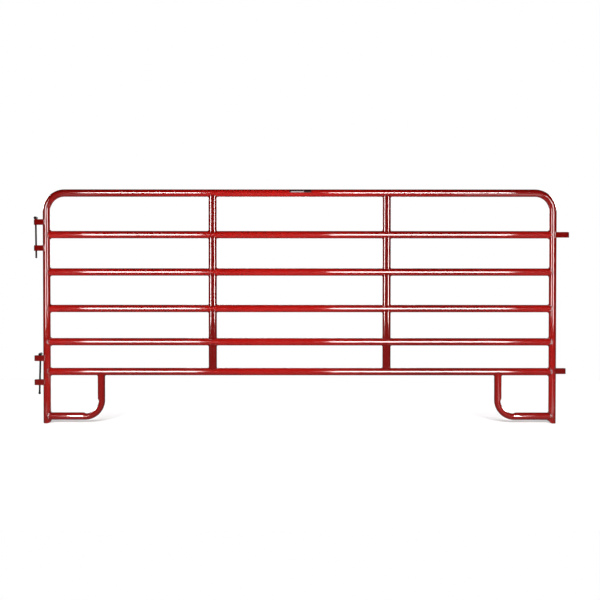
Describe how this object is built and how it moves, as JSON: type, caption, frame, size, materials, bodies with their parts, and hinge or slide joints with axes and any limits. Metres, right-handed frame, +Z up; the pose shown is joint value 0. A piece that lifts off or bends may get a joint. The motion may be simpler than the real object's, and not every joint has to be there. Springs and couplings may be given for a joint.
{
  "type": "livestock panel gate",
  "caption": "Welded round-tube livestock panel with rounded top corners, level rails, flat-oval stays, bent leg tubes, loop lugs on both posts and sliding drop pins.",
  "frame": {"origin": "the middle of the panel at floor level, in the plane of the rails", "axes": "+X runs along the panel, towards the post with the single loops; the front, with the label, faces -Y; +Z is up"},
  "size_m": [3.6576, 0.07, 1.6007],
  "materials": {
    "red_powder_coat": "gloss",
    "upper_pin_steel": "satin",
    "lower_pin_steel": "satin",
    "label_film": "satin"
  },
  "bodies": {
    "panel": {"frame_tube": "red_powder_coat", "rail_2": "red_powder_coat", "rail_3": "red_powder_coat", "rail_4": "red_powder_coat", "rail_5": "red_powder_coat", "rail_6": "red_powder_coat", "stay_left_1": "red_powder_coat", "stay_left_2": "red_powder_coat", "stay_left_3": "red_powder_coat", "stay_left_4": "red_powder_coat", "stay_left_5": "red_powder_coat", "stay_right_1": "red_powder_coat", "stay_right_2": "red_powder_coat", "stay_right_3": "red_powder_coat", "stay_right_4": "red_powder_coat", "stay_right_5": "red_powder_coat", "leg_left": "red_powder_coat", "leg_right": "red_powder_coat", "female_lug_upper_top": "red_powder_coat", "female_lug_upper_bottom": "red_powder_coat", "female_lug_lower_top": "red_powder_coat", "female_lug_lower_bottom": "red_powder_coat", "male_lug_upper": "red_powder_coat", "male_lug_lower": "red_powder_coat", "name_label": "label_film"},
    "upper_pin": {"upper_pin_rod": "upper_pin_steel", "upper_pin_handle": "upper_pin_steel"},
    "lower_pin": {"lower_pin_rod": "lower_pin_steel", "lower_pin_handle": "lower_pin_steel"}
  },
  "joints": [
    {"name": "upper_pin_lift", "type": "slide", "parent": "panel", "child": "upper_pin", "axis": [-0.0105, 0, 0.9999], "range_m": [0, 0.27]},
    {"name": "lower_pin_lift", "type": "slide", "parent": "panel", "child": "lower_pin", "axis": [0.027, 0, 0.9996], "range_m": [0, 0.27]}
  ]
}
